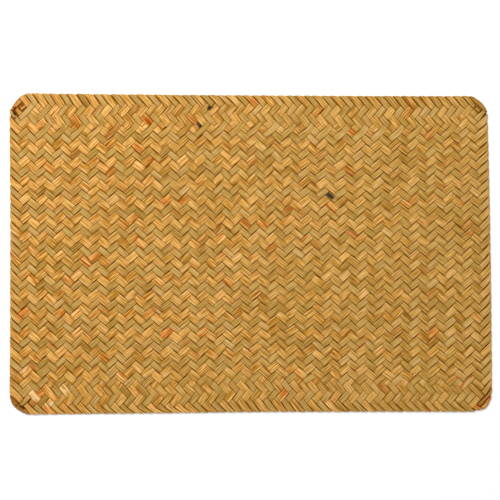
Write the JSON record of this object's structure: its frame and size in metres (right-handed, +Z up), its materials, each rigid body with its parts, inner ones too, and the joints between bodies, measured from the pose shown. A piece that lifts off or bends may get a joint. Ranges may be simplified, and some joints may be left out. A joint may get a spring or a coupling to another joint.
{
  "type": "pandanus mat",
  "caption": "Flat hand-plaited placemat of diagonal pandanus leaf strips, with a folded edge and rounded corners.",
  "frame": {"origin": "on the surface that the mat lies on, under the middle of its bounding box", "axes": "+X along the mat's length, +Y across it to the far side, +Z up through its thickness"},
  "size_m": [0.4508, 0.3008, 0.002],
  "materials": {
    "leaf": "dried pandanus leaf strips, tan to khaki and orange, with a soft natural gloss"
  },
  "bodies": {
    "root": {"pandanus_mat": "leaf"}
  },
  "joints": []
}
